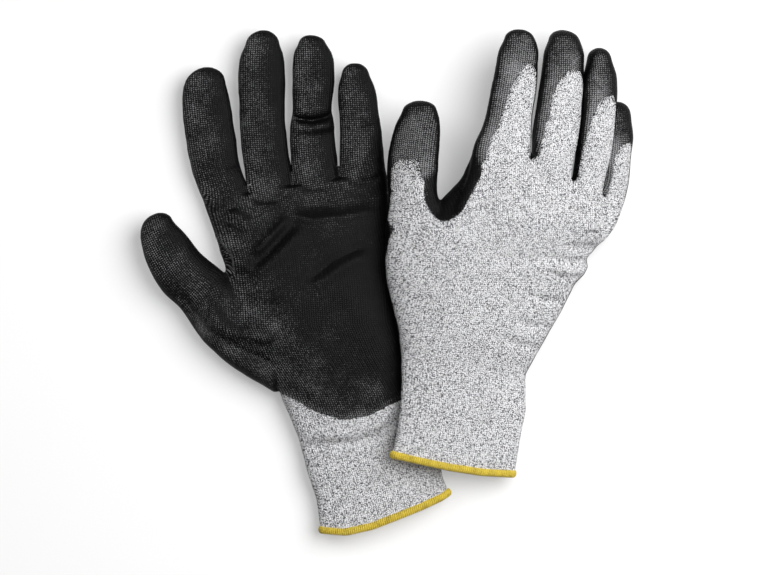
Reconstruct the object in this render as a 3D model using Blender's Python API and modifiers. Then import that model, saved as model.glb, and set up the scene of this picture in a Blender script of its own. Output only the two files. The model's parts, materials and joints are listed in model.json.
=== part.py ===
"""A pair of knitted cut-resistant work gloves with a dipped polyurethane palm.

The left glove lies palm up. The right glove lies back up, with its thumb side on the left glove's edge.
Metres, +Z up, +Y towards the fingertips. Each glove is one soft cage. Its smooth skin is the outer face of
the knitted liner, and it is parted at the knuckles and at the wrist into the pieces that move.
"""

import math

import bmesh
import bpy
from mathutils import Matrix, Vector
from mathutils.bvhtree import BVHTree

# Walls and clearances
KNIT_WALL = 0.0012
COATING_FILM = 0.0005
FIT_GAP = 0.0003
FLOOR_GAP = 0.0004
CUT_TOLERANCE = 0.0001
WELD_DISTANCE = 1e-7

# Finger and thumb tubes, the same on both gloves: length from the crotch, girth, knuckles along the length
DIGITS = ("thumb", "index", "middle", "ring", "little")
LENGTH = {"thumb": 0.0585, "index": 0.0655, "middle": 0.0760, "ring": 0.0720, "little": 0.0560}
GIRTH = {"thumb": 0.062, "index": 0.056, "middle": 0.056, "ring": 0.052, "little": 0.049}
ROOT_KNUCKLE = {"thumb": 0.0150, "index": 0.0090, "middle": 0.0090, "ring": 0.0090, "little": 0.0090}
MIDDLE_KNUCKLE = {"thumb": 0.0345, "index": 0.0360, "middle": 0.0420, "ring": 0.0400, "little": 0.0320}
ROOT_TAPER = {"thumb": 1.06, "index": 0.95, "middle": 0.95, "ring": 0.95, "little": 0.95}
TIP_TAPER = 0.92
TIP_ROUND = 0.0095
TIP_CLOSE = 0.60
NECK_SHARE = 0.60
FINGERTIP_COAT = 0.014

# Yellow hem sewn over the cut edge of the cuff, and the elastic thread wound inside the cuff
HEM_REACH = 0.0032
HEM_LIP = 0.0022
HEM_THREAD = 0.0011
HEM_ROUND = 0.8
ELASTIC_RADIUS = 0.0004
ELASTIC_TURNS = 4
ELASTIC_STEPS = 20
ELASTIC_START = 0.008

# Cage of the hand: eight columns on the back and eight on the palm, which meet at the two sides
COLUMNS = 8
COLUMN_EDGE = 0.10
SIDE_SWELL = 0.033
RING_SWELL = 1.19
ROOT_SWELL = 1.12
PATH_STEPS = 24
WRIST_SEAM = 0.20

# A pleat of the palm from side to side: a furrow between two ridges, each a share of the pleat's rise
PLEAT_PROFILE = (0.0, 1.0, -1.2, 1.0, 0.0)
PLEAT_FADE = 0.3

# The bath's surface where the coating ends at the wrist: its slope, and its turn in degrees
DIP_SLOPE = 1.35
DIP_TURN = 6.0

# Colour and roughness of each material
KNIT = ((0.60, 0.60, 0.61), 0.85)
POLYURETHANE = ((0.015, 0.015, 0.017), 0.55)
HEM_YELLOW = ((0.68, 0.48, 0.03), 0.75)
ELASTIC_WHITE = ((0.75, 0.75, 0.72), 0.60)
SHARP_ANGLE = 50.0

# How the gloves lie. A row is the hand's mid surface from the thumb side to the little finger's side, with
# its thickness and how far it arches upwards. A digit's angles are in degrees, and its splay runs from its
# root to its tip. Flat is its thickness over its width, and draw is how far the knit is drawn out along it.
# The four fingers' knuckles lie along one line, whose tilt is the knuckle roll in degrees. A pleat's furrow
# runs between two places of the palm, and ridge is the way from the furrow to the ridge on each side.
LEFT_ROWS = (
    {"left": (-0.033, -0.1312, 0.0085), "right": (0.035, -0.1095, 0.0085), "thick": 0.012, "arch": 0.0},
    {"left": (-0.05, -0.0545, 0.0082), "right": (0.021, -0.056, 0.0082), "thick": 0.0172, "arch": 0.0},
    {"left": (-0.088, -0.038, 0.0116), "right": (0.0138, -0.0335, 0.0116), "thick": 0.024, "arch": 0.0,
     "grows": "thumb"},
    {"left": (-0.0795, 0.002, 0.0116), "right": (0.009, -0.0013, 0.0116), "thick": 0.024, "arch": 0.0},
    {"left": (-0.0887, 0.029, 0.0091), "right": (0.005, 0.027, 0.0091), "thick": 0.019, "arch": 0.0},
)
RIGHT_ROWS = (
    {"left": (0.0045, -0.0915, 0.0258), "right": (0.068, -0.1012, 0.009), "thick": 0.0115, "arch": 0.001},
    {"left": (0.0078, -0.0455, 0.0258), "right": (0.0742, -0.0455, 0.009), "thick": 0.0142, "arch": 0.004},
    {"left": (0.002, -0.0159, 0.027), "right": (0.0898, -0.0148, 0.0095), "thick": 0.019, "arch": 0.008,
     "grows": "thumb"},
    {"left": (0.03, 0.0355, 0.032), "right": (0.112, 0.0231, 0.0095), "thick": 0.019, "arch": 0.01},
    {"left": (0.0395, 0.058, 0.033), "right": (0.119, 0.033, 0.0095), "thick": 0.0165, "arch": 0.011},
)
GLOVES = {
    "left": {
        "dorsal": -1.0,
        "knuckle_roll": 0,
        "rows": LEFT_ROWS,
        "middle_root": (-0.0590, 0.0528, 0.0062),
        "webs": (0.0022, 0.0022, 0.0022),
        "slopes": (0.0, 0.0, 0.0),
        "steps": (0.0031, 0.0052, 0.0),
        "thumb_root": (-0.0885, -0.0140, 0.0092),
        "pleats": (
            {"from": (-0.0720, 0.0050), "to": (-0.0430, 0.0360), "ridge": 0.0044, "rise": 0.0017},
            {"from": (-0.0420, 0.0032), "to": (-0.0040, 0.0262), "ridge": 0.0042, "rise": 0.0013},
            {"from": (-0.0880, -0.0240), "to": (-0.0500, -0.0500), "ridge": 0.0050, "rise": 0.0016},
        ),
        "lie": {
            "thumb": {"splay": (-44, -18), "roll": 0, "pitch": 0, "curl": 10, "flat": 0.5, "draw": 1.04},
            "index": {"splay": (-12, -3), "roll": 0, "pitch": 0, "curl": 9, "flat": 0.46, "draw": 0.98},
            "middle": {"splay": (-3, -1), "roll": 0, "pitch": 0, "curl": 8, "flat": 0.46, "draw": 1.06},
            "ring": {"splay": (-2, -1), "roll": 0, "pitch": 0, "curl": 9, "flat": 0.46, "draw": 1.00},
            "little": {"splay": (-4, -2.5), "roll": 0, "pitch": 0, "curl": 11, "flat": 0.46, "draw": 1.03},
        },
    },
    "right": {
        "dorsal": 1.0,
        "knuckle_roll": 24,
        "rows": RIGHT_ROWS,
        "middle_root": (0.0890, 0.0621, 0.0325),
        "webs": (0.0050, 0.0022, 0.0014),
        "slopes": (5.0, 30.0, 46.0),
        "steps": (-0.0042, -0.0109, -0.0078),
        "thumb_root": (0.0135, 0.0340, 0.0300),
        "pleats": (),
        "lie": {
            "thumb": {"splay": (1, 5), "roll": -20, "pitch": 4, "curl": 10, "flat": 0.7, "draw": 1.08},
            "index": {"splay": (9.5, 6), "roll": 12, "pitch": 2, "curl": 12, "flat": 0.58, "draw": 1.04},
            "middle": {"splay": (7, 5), "roll": 20, "pitch": 4, "curl": 14, "flat": 0.68, "draw": 0.94},
            "ring": {"splay": (6, 4), "roll": 33, "pitch": 0, "curl": 8, "flat": 0.85, "draw": 1.01},
            "little": {"splay": (6, 4), "roll": 38, "pitch": 0, "curl": 4, "flat": 0.85, "draw": 0.95},
        },
    },
}

UP = Vector((0.0, 0.0, 1.0))
FORWARD = Vector((0.0, 1.0, 0.0))
ACROSS = Vector((1.0, 0.0, 0.0))

# Corners of a tube's six-sided ring, by their angle from the little finger's side towards the back
CORNER_ANGLES = (120.0, 60.0, 0.0, -60.0, -120.0, 180.0)
BACK_LEFT, BACK_RIGHT, SIDE_RIGHT, PALM_RIGHT, PALM_LEFT, SIDE_LEFT = range(6)


def material(name, colour, roughness):
    """A plain finish in the piece's own colour."""
    made = bpy.data.materials.new(name)
    made.use_nodes = True
    shader = made.node_tree.nodes["Principled BSDF"]
    shader.inputs["Base Color"].default_value = (*colour, 1.0)
    shader.inputs["Roughness"].default_value = roughness
    shader.inputs["Metallic"].default_value = 0.0
    return made


def half_sizes(girth, flat):
    """Half width and half thickness of a tube of this girth that lies this flat."""
    skew = ((1.0 - flat) / (1.0 + flat)) ** 2
    half_width = girth / (math.pi * (1.0 + flat) * (1.0 + skew / 4.0))
    return half_width, half_width * flat


def digit_roots(glove):
    """Where each digit starts: the fingers stand side by side, outwards from the middle one."""
    lie = glove["lie"]
    width = {name: half_sizes(GIRTH[name], lie[name]["flat"])[0] * ROOT_TAPER[name] for name in DIGITS}
    fingers = DIGITS[1:]
    stride = []
    for pair in range(3):
        near, far = fingers[pair], fingers[pair + 1]
        slope = math.radians(glove["slopes"][pair])
        spacing = width[near] + width[far] + glove["webs"][pair]
        stride.append(Vector((spacing * math.cos(slope), glove["steps"][pair], -spacing * math.sin(slope))))
    middle = Vector(glove["middle_root"])
    return {
        "thumb": Vector(glove["thumb_root"]),
        "index": middle - stride[0],
        "middle": middle,
        "ring": middle + stride[1],
        "little": middle + stride[1] + stride[2],
    }


def digit_path(name, root, lie, dorsal):
    """Frames along a digit as (distance, centre, across, along, back), bending to the side and the palm."""
    frames = []
    centre = root.copy()
    length = LENGTH[name]
    for step in range(PATH_STEPS + 1):
        share = step / PATH_STEPS
        splay = lie["splay"][0] + (lie["splay"][1] - lie["splay"][0]) * share
        bend = lie["pitch"] + lie["curl"] * share
        axes = (
            Matrix.Rotation(-math.radians(splay), 3, "Z")
            @ Matrix.Rotation(math.radians(lie["roll"]), 3, "Y")
            @ Matrix.Rotation(-dorsal * math.radians(bend), 3, "X")
        )
        along = axes @ FORWARD
        frames.append((length * share, centre.copy(), axes @ ACROSS, along, axes @ UP * dorsal))
        centre += along * (length * lie["draw"] / PATH_STEPS)
    return frames


def frame_at(frames, distance):
    """The frame at this distance along a digit, between the two that it falls between."""
    low = max(i for i, frame in enumerate(frames[:-1]) if frame[0] <= distance)
    share = (distance - frames[low][0]) / (frames[low + 1][0] - frames[low][0])
    centre = frames[low][1].lerp(frames[low + 1][1], share)
    return (centre, *frames[low][2:])


def knuckle_frame(frame, name, glove):
    """A frame on a knuckle, turned about the digit until it lies along the row of the four knuckles."""
    if name == "thumb":
        return frame
    centre, across, along, back = frame
    turn = Matrix.Rotation(math.radians(glove["knuckle_roll"] - glove["lie"][name]["roll"]), 3, along)
    return centre, turn @ across, along, turn @ back


def ring_corner(frame, corner, half_width, half_thick):
    centre, across, along, back = frame
    angle = math.radians(CORNER_ANGLES[corner])
    return centre + across * (half_width * math.cos(angle)) + back * (half_thick * math.sin(angle))


def row_ring(bm, row, dorsal):
    """One closed ring of the hand: back, little finger's side, palm, thumb side."""
    left, right = Vector(row["left"]), Vector(row["right"])

    def point(share, height):
        lift = 4.0 * row["arch"] * share * (1.0 - share)
        tangent = right - left + UP * (4.0 * row["arch"] * (1.0 - 2.0 * share))
        outward = tangent.cross(FORWARD).normalized() * dorsal
        return left.lerp(right, share) + UP * lift + outward * height

    shares = [COLUMN_EDGE + (1.0 - 2.0 * COLUMN_EDGE) * i / (COLUMNS - 1) for i in range(COLUMNS)]
    heights = [row["thick"] / 2.0 * math.sqrt(1.0 - (2.0 * share - 1.0) ** 4) for share in shares]
    return {
        "back": [bm.verts.new(point(share, height)) for share, height in zip(shares, heights)],
        "right": bm.verts.new(point(1.0 + SIDE_SWELL, 0.0)),
        "palm": [bm.verts.new(point(share, -height)) for share, height in zip(shares, heights)],
        "left": bm.verts.new(point(-SIDE_SWELL, 0.0)),
    }


def ring_loop(ring):
    return ring["back"] + [ring["right"]] + ring["palm"][::-1] + [ring["left"]]


def crotch_ring(bm, glove, roots):
    """The hand's last ring, where the four finger tubes start, and the corners of each tube."""
    ring = {"back": [], "palm": []}
    corners = {}
    for name in DIGITS[1:]:
        lie = glove["lie"][name]
        half_width, half_thick = half_sizes(GIRTH[name], lie["flat"])
        frame = frame_at(digit_path(name, roots[name], lie, glove["dorsal"]), 0.0)
        sizes = (half_width * ROOT_TAPER[name], half_thick * ROOT_SWELL)
        corners[name] = [bm.verts.new(ring_corner(frame, corner, *sizes)) for corner in range(6)]
        ring["back"] += [corners[name][BACK_LEFT], corners[name][BACK_RIGHT]]
        ring["palm"] += [corners[name][PALM_LEFT], corners[name][PALM_RIGHT]]
    ring["left"] = corners["index"][SIDE_LEFT]
    ring["right"] = corners["little"][SIDE_RIGHT]
    return ring, corners


def tube_caps(bm, corners):
    """The two faces that close a six-sided ring, back and palm."""
    back = (corners[BACK_LEFT], corners[BACK_RIGHT], corners[SIDE_RIGHT], corners[SIDE_LEFT])
    palm = (corners[SIDE_LEFT], corners[SIDE_RIGHT], corners[PALM_RIGHT], corners[PALM_LEFT])
    return [bm.faces.new(back), bm.faces.new(palm)]


def grow_digit(bm, caps, corners, frames, name, lie):
    """Draws a tube out of its two cap faces, a ring at each knuckle and two more to round the tip."""
    mark = bm.verts.layers.int["corner"]
    for corner, vert in enumerate(corners):
        vert[mark] = corner
    half_width, half_thick = half_sizes(GIRTH[name], lie["flat"])
    length = LENGTH[name]
    rings = (
        (ROOT_KNUCKLE[name] * NECK_SHARE, ROOT_TAPER[name] * RING_SWELL),
        (length - TIP_ROUND, TIP_TAPER * RING_SWELL),
        (length, TIP_TAPER * TIP_CLOSE * RING_SWELL),
    )
    grown = set()
    for distance, swell in rings:
        geometry = bmesh.ops.extrude_face_region(bm, geom=caps)["geom"]
        bmesh.ops.delete(bm, geom=caps, context="FACES")
        caps = [item for item in geometry if isinstance(item, bmesh.types.BMFace)]
        frame = frame_at(frames, distance)
        for vert in (item for item in geometry if isinstance(item, bmesh.types.BMVert)):
            vert.co = ring_corner(frame, vert[mark], half_width * swell, half_thick * swell)
            grown.add(vert)
    digit = bm.faces.layers.int["digit"]
    for face in {face for vert in grown for face in vert.link_faces}:
        face[digit] = DIGITS.index(name) + 1


def glove_cage(glove, roots, paths):
    """Coarse closed cage of a glove, open only at the cuff, with its digits and its palm half marked."""
    bm = bmesh.new()
    digit = bm.faces.layers.int.new("digit")
    palm = bm.faces.layers.int.new("palm")
    bm.verts.layers.int.new("corner")
    palm_side = bm.verts.layers.int.new("palm_side")
    rings = [row_ring(bm, row, glove["dorsal"]) for row in glove["rows"]]
    top, corners = crotch_ring(bm, glove, roots)
    rings.append(top)
    for ring in rings:
        for vert in ring["palm"]:
            vert[palm_side] = 1
    sides = {}
    for row, (low, high) in enumerate(zip(rings, rings[1:])):
        below, above = ring_loop(low), ring_loop(high)
        for column in range(len(below)):
            after = (column + 1) % len(below)
            sides[row, column] = bm.faces.new((below[column], below[after], above[after], above[column]))
    fingers = DIGITS[1:]
    for name, neighbour in zip(fingers, fingers[1:]):
        near, far = corners[name], corners[neighbour]
        bm.faces.new((near[BACK_RIGHT], far[BACK_LEFT], far[SIDE_LEFT], near[SIDE_RIGHT]))
        bm.faces.new((near[SIDE_RIGHT], far[SIDE_LEFT], far[PALM_LEFT], near[PALM_RIGHT]))
    for name in fingers:
        grow_digit(bm, tube_caps(bm, corners[name]), corners[name], paths[name], name, glove["lie"][name])
    thumb_row = next(i for i, row in enumerate(glove["rows"]) if "grows" in row)
    low, high = rings[thumb_row], rings[thumb_row + 1]
    thumb = [low["back"][0], high["back"][0], high["left"], high["palm"][0], low["palm"][0], low["left"]]
    last = 2 * COLUMNS + 1
    base = [sides[thumb_row, last - 1], sides[thumb_row, last]]
    grow_digit(bm, base, thumb, paths["thumb"], "thumb", glove["lie"]["thumb"])
    for face in bm.faces:
        face[palm] = int(any(vert[palm_side] for vert in face.verts))
    bmesh.ops.recalc_face_normals(bm, faces=bm.faces[:])
    return bm


def smooth_skin(name, cage):
    """The liner's smooth outer face, each point holding its own outward direction."""
    mesh = bpy.data.meshes.new(name)
    cage.to_mesh(mesh)
    cage.free()
    guide = bpy.data.objects.new(name, mesh)
    bpy.context.scene.collection.objects.link(guide)
    soften = guide.modifiers.new("soften", "SUBSURF")
    soften.levels = soften.render_levels = 1
    graph = bpy.context.evaluated_depsgraph_get()
    smooth = bpy.data.meshes.new_from_object(guide.evaluated_get(graph), depsgraph=graph)
    bpy.data.objects.remove(guide)
    skin = bmesh.new()
    skin.from_mesh(smooth)
    skin.normal_update()
    outward = skin.verts.layers.float_vector.new("outward")
    for vert in skin.verts:
        vert[outward] = vert.normal
    return skin


def pleat_frame(pleat):
    """Where a pleat's furrow starts, its way over the palm, and its side."""
    start = Vector((*pleat["from"], 0.0))
    way = Vector((*pleat["to"], 0.0)) - start
    return start, way, UP.cross(way).normalized()


def in_pleat(pleat, place):
    """A place seen from a pleat: its share of the furrow's length, and how many ridges to the side it is."""
    start, way, side = pleat_frame(pleat)
    return (place - start).dot(way) / way.length_squared, (place - start).dot(side) / pleat["ridge"]


def pleated(skin, pleat):
    """The palm's faces that a pleat passes over."""
    digit = skin.faces.layers.int["digit"]
    palm = skin.faces.layers.int["palm"]
    reach = len(PLEAT_PROFILE) // 2
    found = []
    for face in skin.faces:
        if face[palm] and not face[digit]:
            shares, offsets = zip(*(in_pleat(pleat, vert.co) for vert in face.verts))
            if max(shares) > 0.0 and min(shares) < 1.0 and max(offsets) > -reach and min(offsets) < reach:
                found.append(face)
    return found


def fold_palm(skin, pleat):
    """Cuts the palm along a pleat's lines, and lifts and sinks it between them, less towards both ends."""
    outward = skin.verts.layers.float_vector["outward"]
    reach = len(PLEAT_PROFILE) // 2
    start, way, side = pleat_frame(pleat)
    for line in range(-reach, reach + 1):
        faces = pleated(skin, pleat)
        edges = {edge for face in faces for edge in face.edges}
        verts = {vert for face in faces for vert in face.verts}
        bmesh.ops.bisect_plane(
            skin,
            geom=[*verts, *edges, *faces],
            plane_co=start + side * (pleat["ridge"] * line),
            plane_no=side,
            dist=CUT_TOLERANCE,
        )
    for vert in {vert for face in pleated(skin, pleat) for vert in face.verts}:
        share, offset = in_pleat(pleat, vert.co)
        if 0.0 < share < 1.0 and abs(offset) < reach:
            low = min(int(offset + reach), 2 * reach - 1)
            between = offset + reach - low
            height = PLEAT_PROFILE[low] + (PLEAT_PROFILE[low + 1] - PLEAT_PROFILE[low]) * between
            fade = min(1.0, share / PLEAT_FADE, (1.0 - share) / PLEAT_FADE)
            vert.co += vert[outward].normalized() * (pleat["rise"] * height * fade)


def patch(skin, keep, cuts):
    """An open piece of the skin: the faces that keep() takes, without what lies past each cutting plane.

    A cut is (digit or None, point, direction), and trims only that digit's faces, or all of them.
    """
    bm = skin.copy()
    digit = bm.faces.layers.int["digit"]
    palm = bm.faces.layers.int["palm"]
    spare = [face for face in bm.faces if not keep(face[digit], face[palm])]
    bmesh.ops.delete(bm, geom=spare, context="FACES")
    for tag, point, direction in cuts:
        faces = [face for face in bm.faces if tag is None or face[digit] == tag]
        edges = {edge for face in faces for edge in face.edges}
        verts = {vert for face in faces for vert in face.verts}
        geometry = [*verts, *edges, *faces]
        bmesh.ops.bisect_plane(
            bm, geom=geometry, plane_co=point, plane_no=direction, clear_outer=True, dist=WELD_DISTANCE
        )
    return bm


def shell(bm, inner, outer, floor=None):
    """Turns an open piece of the skin into a wall between two offsets, cut flat at the floor it lies on."""
    outward = bm.verts.layers.float_vector["outward"]
    bmesh.ops.triangulate(bm, faces=bm.faces[:], quad_method="FIXED")
    for vert in bm.verts:
        vert.co += vert[outward] * inner
    geometry = bmesh.ops.extrude_face_region(bm, geom=bm.faces[:])["geom"]
    for vert in (item for item in geometry if isinstance(item, bmesh.types.BMVert)):
        vert.co += vert[outward] * (outer - inner)
    for vert in bm.verts:
        if floor is not None and vert.co.z < floor:
            vert.co.z = floor
    bmesh.ops.recalc_face_normals(bm, faces=bm.faces[:])
    return bm


def add_empty(name, place, parent=None):
    """An empty at a place in the pair's frame."""
    empty = bpy.data.objects.new(name, None)
    empty.empty_display_size = 0.01
    parts.objects.link(empty)
    empty.parent = parent
    empty.location = place - origin_of(parent)
    return empty


def origin_of(empty):
    place = Vector()
    while empty:
        place += empty.location
        empty = empty.parent
    return place


def add_node(name, bm, empty, finish):
    """One named sub-part, hung on an empty, with its own finish."""
    mesh = bpy.data.meshes.new(name)
    bm.to_mesh(mesh)
    bm.free()
    mesh.transform(Matrix.Translation(-origin_of(empty)))
    mesh.materials.append(material(name, *finish))
    mesh.shade_smooth()
    mesh.set_sharp_from_angle(angle=math.radians(SHARP_ANGLE))
    obj = bpy.data.objects.new(name, mesh)
    obj.parent = empty
    parts.objects.link(obj)
    return obj


def palm_reach(bm, frame):
    """How far a cut edge reaches towards the palm from the middle of its tube."""
    centre, across, along, back = frame
    on_cut = [vert.co for vert in bm.verts if abs((vert.co - centre).dot(along)) < 2.0 * FIT_GAP]
    return max((centre - point).dot(back) for point in on_cut)


def dip_cut(frames, name, lie):
    """The bath's surface on a digit: at the sides of its root, and over its back short of the tip."""
    half_thick = half_sizes(GIRTH[name], lie["flat"])[1]
    centre, across, along, back = frame_at(frames, ROOT_KNUCKLE[name])
    tip_centre, tip_across, tip_along, tip_back = frame_at(frames, LENGTH[name] - FINGERTIP_COAT)
    upward = across.cross(tip_centre + tip_back * half_thick - centre).normalized()
    return centre, upward if upward.dot(back) > 0.0 else -upward


def row_middle(row):
    return (Vector(row["left"]) + Vector(row["right"])) / 2.0 + UP * row["arch"]


def rim_loop(bm, point, axis, across):
    """The points of a cut edge, in order round it, with their outward directions."""
    outward = bm.verts.layers.float_vector["outward"]
    on_cut = [vert for vert in bm.verts if abs((vert.co - point).dot(axis)) < CUT_TOLERANCE]
    third = axis.cross(across).normalized()
    middle = sum((vert.co for vert in on_cut), Vector()) / len(on_cut)
    on_cut.sort(key=lambda vert: math.atan2((vert.co - middle).dot(third), (vert.co - middle).dot(across)))
    return [(vert.co.copy(), vert[outward].normalized()) for vert in on_cut]


def hem_band(rim, axis):
    """Overlocked thread as a channel that holds the cuff's cut edge."""
    inside = -KNIT_WALL - FIT_GAP
    shoulder = FIT_GAP + HEM_THREAD / 2.0
    section = (
        (FIT_GAP, -HEM_REACH),
        (FIT_GAP + HEM_THREAD, -HEM_LIP),
        (FIT_GAP + HEM_THREAD * HEM_ROUND, shoulder),
        (-KNIT_WALL / 2.0, FIT_GAP + HEM_THREAD),
        (inside - HEM_THREAD * HEM_ROUND, shoulder),
        (inside - HEM_THREAD, -HEM_LIP),
        (inside, -HEM_REACH),
        (inside, FIT_GAP),
        (FIT_GAP, FIT_GAP),
    )
    bm = bmesh.new()
    loops = []
    for out, down in section:
        loop = []
        for place, normal in rim:
            downward = (normal * axis.dot(normal) - axis).normalized()
            loop.append(bm.verts.new(place + normal * out + downward * down))
        loops.append(loop)
    for loop, following in zip(loops, loops[1:] + loops[:1]):
        for i, vert in enumerate(loop):
            after = (i + 1) % len(loop)
            bm.faces.new((vert, loop[after], following[after], following[i]))
    bmesh.ops.recalc_face_normals(bm, faces=bm.faces[:])
    return bm


def elastic_points(cuff, hem_row, start, end):
    """One unbroken thread wound up the inside of the cuff, clear of its wall."""
    wall = BVHTree.FromBMesh(cuff)
    half_across = (Vector(hem_row["right"]) - Vector(hem_row["left"])) / 2.0
    half_back = half_across.cross(end - start).normalized() * (hem_row["thick"] / 2.0)
    count = ELASTIC_TURNS * ELASTIC_STEPS
    points = []
    for i in range(count + 1):
        middle = start.lerp(end, i / count)
        angle = 2.0 * math.pi * i / ELASTIC_STEPS
        ray = (half_across * math.cos(angle) + half_back * math.sin(angle)).normalized()
        place = wall.ray_cast(middle, ray)[0]
        while wall.find_nearest(place)[3] < FIT_GAP + ELASTIC_RADIUS:
            place = place - ray * CUT_TOLERANCE
        points.append(place)
    gap = min(
        (points[i] - points[j]).length - 2.0 * ELASTIC_RADIUS
        for i in range(len(points))
        for j in range(i + ELASTIC_STEPS // 2, len(points))
    )
    print(f"elastic thread: least gap to itself {gap * 1000.0:.2f} mm")
    return points


def add_thread(name, points, empty, finish):
    """A round thread through points."""
    curve = bpy.data.curves.new(name, "CURVE")
    curve.dimensions = "3D"
    curve.bevel_depth = ELASTIC_RADIUS
    curve.bevel_resolution = 0
    curve.use_fill_caps = True
    spline = curve.splines.new("POLY")
    spline.points.add(len(points) - 1)
    for knot, place in zip(spline.points, points):
        knot.co = (*(place - origin_of(empty)), 1.0)
    curve.materials.append(material(name, *finish))
    thread = bpy.data.objects.new(name, curve)
    thread.parent = empty
    parts.objects.link(thread)


def build_glove(side, parent):
    """All the pieces of one glove, with an empty on each knuckle's axis."""
    glove = GLOVES[side]
    rows = glove["rows"]
    roots = digit_roots(glove)
    paths = {name: digit_path(name, roots[name], glove["lie"][name], glove["dorsal"]) for name in DIGITS}
    skin = smooth_skin(f"{side}_skin", glove_cage(glove, roots, paths))
    for pleat in glove["pleats"]:
        fold_palm(skin, pleat)
    floor = 0.0 if side == "left" else None
    film = (FIT_GAP, FIT_GAP + COATING_FILM)
    half_gap = FIT_GAP / 2.0

    digit_cuts = []
    for tag, name in enumerate(DIGITS, 1):
        centre, across, along, back = frame_at(paths[name], ROOT_KNUCKLE[name])
        digit_cuts.append((tag, centre - along * half_gap, along))
    hem_row, wrist_row = rows[0], rows[1]
    axis = (row_middle(wrist_row) - row_middle(hem_row)).normalized()
    seam = row_middle(wrist_row).lerp(row_middle(hem_row), WRIST_SEAM)
    edge = Vector(hem_row["right"]) - Vector(hem_row["left"])
    hem_axis = edge.cross(FORWARD).cross(edge).normalized()
    hem = row_middle(hem_row) + hem_axis * HEM_THREAD
    wrist = Vector(wrist_row["right"]) - Vector(wrist_row["left"])
    palmward = FORWARD.cross(wrist).normalized() * glove["dorsal"]
    dipped = Matrix.Rotation(math.radians(DIP_TURN), 3, "Z") @ FORWARD

    def hand(tag, palm):
        return True

    def palm_half(tag, palm):
        return palm == 1

    hand_wall = patch(skin, hand, [*digit_cuts, (None, seam + axis * half_gap, -axis)])
    cuff_wall = patch(skin, hand, [(None, seam - axis * half_gap, axis), (None, hem, -hem_axis)])
    dip_line = (None, row_middle(wrist_row), -(dipped + palmward * DIP_SLOPE).normalized())
    palm_film = patch(skin, palm_half, [*digit_cuts, dip_line])
    rim = rim_loop(cuff_wall, hem, hem_axis, edge.normalized())

    cuff = shell(cuff_wall, -KNIT_WALL, 0.0, floor)
    thread = elastic_points(cuff, hem_row, hem + axis * ELASTIC_START, seam - axis * ELASTIC_START)
    add_node(f"{side}_hand_knit", shell(hand_wall, -KNIT_WALL, 0.0, floor), parent, KNIT)
    add_node(f"{side}_cuff_knit", cuff, parent, KNIT)
    add_node(f"{side}_palm_coating", shell(palm_film, *film), parent, POLYURETHANE)
    add_node(f"{side}_hem", hem_band(rim, hem_axis), parent, HEM_YELLOW)
    add_thread(f"{side}_cuff_elastic", thread, parent, ELASTIC_WHITE)

    for tag, name in enumerate(DIGITS, 1):
        root = knuckle_frame(frame_at(paths[name], ROOT_KNUCKLE[name]), name, glove)
        knuckle = knuckle_frame(frame_at(paths[name], MIDDLE_KNUCKLE[name]), name, glove)
        bath = (tag, *dip_cut(paths[name], name, glove["lie"][name]))
        base_start = (tag, root[0] + root[2] * half_gap, -root[2])
        base_end = (tag, knuckle[0] - knuckle[2] * half_gap, knuckle[2])
        tip_start = (tag, knuckle[0] + knuckle[2] * half_gap, -knuckle[2])

        def one_digit(face_tag, palm, wanted=tag):
            return face_tag == wanted

        base_wall = patch(skin, one_digit, [base_start, base_end])
        tip_wall = patch(skin, one_digit, [tip_start])
        base_film = patch(skin, one_digit, [base_start, base_end, bath])
        tip_film = patch(skin, one_digit, [tip_start, bath])
        outside = FIT_GAP * 2.0 + COATING_FILM
        root_axis = root[0] - root[3] * (palm_reach(base_wall, root) + outside)
        knuckle_axis = knuckle[0] - knuckle[3] * (palm_reach(tip_wall, knuckle) + outside)
        root_empty = add_empty(f"{side}_{name}_root_knuckle", root_axis, parent)
        tip_empty = add_empty(f"{side}_{name}_middle_knuckle", knuckle_axis, root_empty)
        add_node(f"{side}_{name}_base_knit", shell(base_wall, -KNIT_WALL, 0.0, floor), root_empty, KNIT)
        add_node(f"{side}_{name}_tip_knit", shell(tip_wall, -KNIT_WALL, 0.0, floor), tip_empty, KNIT)
        add_node(f"{side}_{name}_base_coating", shell(base_film, *film), root_empty, POLYURETHANE)
        add_node(f"{side}_{name}_tip_coating", shell(tip_film, *film), tip_empty, POLYURETHANE)
        root_empty["axis"] = root[1] * -glove["dorsal"]
        tip_empty["axis"] = knuckle[1] * -glove["dorsal"]
    skin.free()


def bounds(prefix):
    """Lowest and highest corner of the pieces whose names start like this."""
    bpy.context.view_layer.update()
    graph = bpy.context.evaluated_depsgraph_get()
    corners = []
    for obj in parts.objects:
        if obj.type != "EMPTY" and obj.name.startswith(prefix):
            body = obj.evaluated_get(graph)
            corners += [body.matrix_world @ vert.co for vert in body.to_mesh().vertices]
            body.to_mesh_clear()
    low = Vector(min(corner[axis] for corner in corners) for axis in range(3))
    high = Vector(max(corner[axis] for corner in corners) for axis in range(3))
    return low, high


for leftover in list(bpy.data.objects):
    bpy.data.objects.remove(leftover)
parts = bpy.data.collections.new("cut_resistant_gloves")
bpy.context.scene.collection.children.link(parts)
pair = add_empty("pair_of_gloves", Vector())
left_glove = add_empty("left_glove", Vector(), pair)
right_glove = add_empty("right_glove", Vector(), pair)
build_glove("left", left_glove)
build_glove("right", right_glove)

# The right glove is let down onto the table, and the pair's origin is the middle of its footprint
right_glove.location.z -= bounds("right")[0].z - FLOOR_GAP
lowest, highest = bounds("")
pair.location = (-(lowest.x + highest.x) / 2.0, -(lowest.y + highest.y) / 2.0, -lowest.z)
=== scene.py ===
import json
import math

import bmesh
import bpy
import numpy as np
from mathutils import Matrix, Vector, noise
from mathutils.bvhtree import BVHTree

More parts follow.
